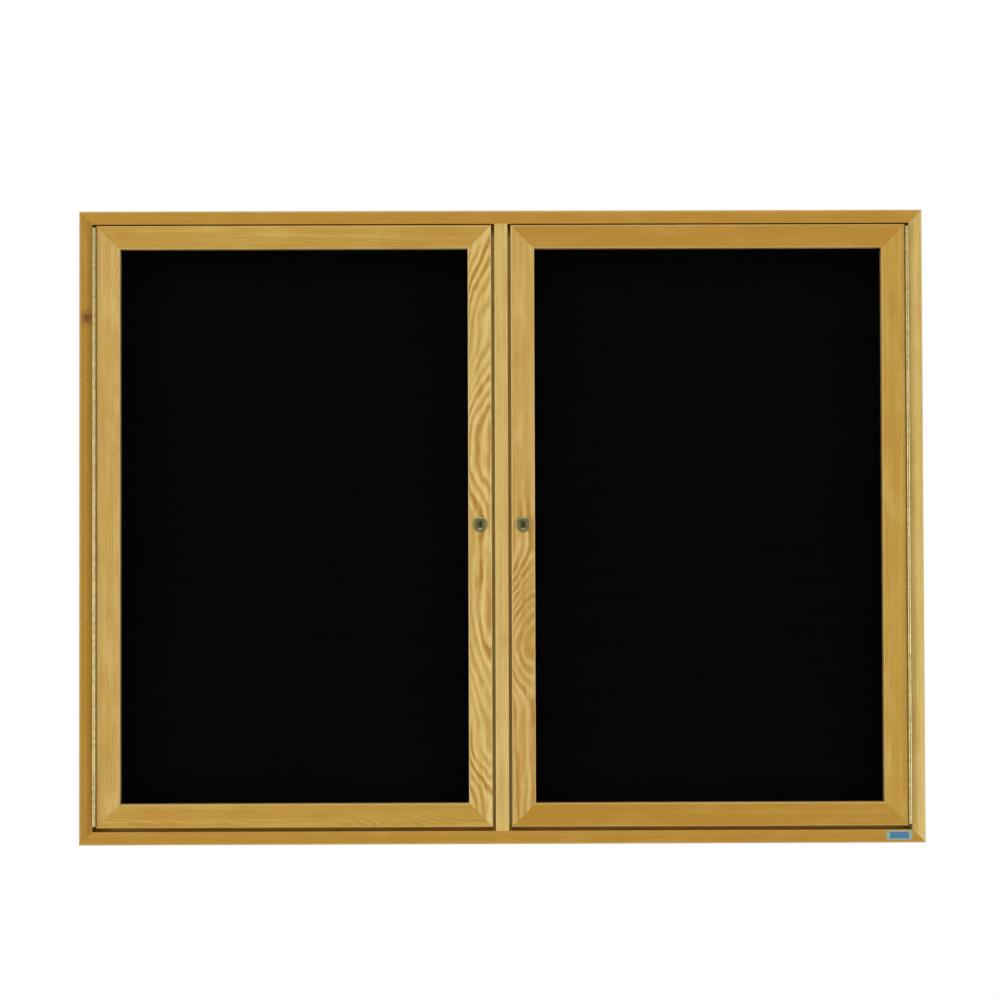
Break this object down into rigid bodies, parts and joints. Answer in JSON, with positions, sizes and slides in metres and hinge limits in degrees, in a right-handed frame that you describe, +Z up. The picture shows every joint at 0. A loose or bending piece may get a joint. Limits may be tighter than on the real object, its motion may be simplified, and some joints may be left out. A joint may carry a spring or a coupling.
{
  "type": "lockable notice board",
  "caption": "Shallow oak wall case with glazed doors on continuous hinges, cam locks and a black letter panel, for showing notices under lock.",
  "frame": {"origin": "centre of the flat back, on the wall plane", "axes": "+X to the viewer's right along the long side, +Y into the wall, +Z up"},
  "size_m": [1.2192, 0.0602, 0.9144],
  "materials": {
    "oak": "clear-lacquered red oak",
    "key_wood": "plain birch",
    "hardboard": "smooth brown hardboard",
    "black_felt": "black grooved felt",
    "clear_pane": "clear polished",
    "hinge_brass": "brass-plated, slightly dulled",
    "lock_nickel": "dull nickel, tarnished",
    "zinc_steel": "zinc-plated"
  },
  "bodies": {
    "case": {"back_panel": "hardboard", "case_bottom_rail": "oak", "case_corner_keys": "key_wood", "case_left_side": "oak", "case_right_side": "oak", "case_top_rail": "oak", "left_hinge_case_leaf": "hinge_brass", "left_hinge_pin": "hinge_brass", "letter_panel": "black_felt", "mullion": "oak", "right_hinge_case_leaf": "hinge_brass", "right_hinge_pin": "hinge_brass"},
    "left_door": {"left_door_bottom_bead": "oak", "left_door_bottom_rail": "oak", "left_door_corner_keys": "key_wood", "left_door_hinge_bead": "oak", "left_door_hinge_stile": "oak", "left_door_lock_bead": "oak", "left_door_lock_stile": "oak", "left_door_top_bead": "oak", "left_door_top_rail": "oak", "left_hinge_door_leaf": "hinge_brass", "left_lock_body": "lock_nickel", "left_lock_nut": "zinc_steel", "left_pane": "clear_pane"},
    "right_door": {"right_door_bottom_bead": "oak", "right_door_bottom_rail": "oak", "right_door_corner_keys": "key_wood", "right_door_hinge_bead": "oak", "right_door_hinge_stile": "oak", "right_door_lock_bead": "oak", "right_door_lock_stile": "oak", "right_door_top_bead": "oak", "right_door_top_rail": "oak", "right_hinge_door_leaf": "hinge_brass", "right_lock_body": "lock_nickel", "right_lock_nut": "zinc_steel", "right_pane": "clear_pane"},
    "left_lock": {"left_lock_cam": "zinc_steel", "left_lock_cam_screw": "zinc_steel", "left_lock_plug": "lock_nickel"},
    "right_lock": {"right_lock_cam": "zinc_steel", "right_lock_cam_screw": "zinc_steel", "right_lock_plug": "lock_nickel"}
  },
  "joints": [
    {"name": "left_door_swing", "type": "hinge", "parent": "case", "child": "left_door", "pos_m": [-0.58775, -0.05735, 0], "axis": [0, 0, -1], "range_deg": [0, 180]},
    {"name": "left_lock_turn", "type": "hinge", "parent": "left_door", "child": "left_lock", "pos_m": [-0.03103, -0.05555, 0.003], "axis": [0, -1, 0], "range_deg": [0, 90]},
    {"name": "right_door_swing", "type": "hinge", "parent": "case", "child": "right_door", "pos_m": [0.58775, -0.05735, 0], "axis": [0, 0, 1], "range_deg": [0, 180]},
    {"name": "right_lock_turn", "type": "hinge", "parent": "right_door", "child": "right_lock", "pos_m": [0.03103, -0.05555, 0.003], "axis": [0, 1, 0], "range_deg": [0, 90]}
  ]
}
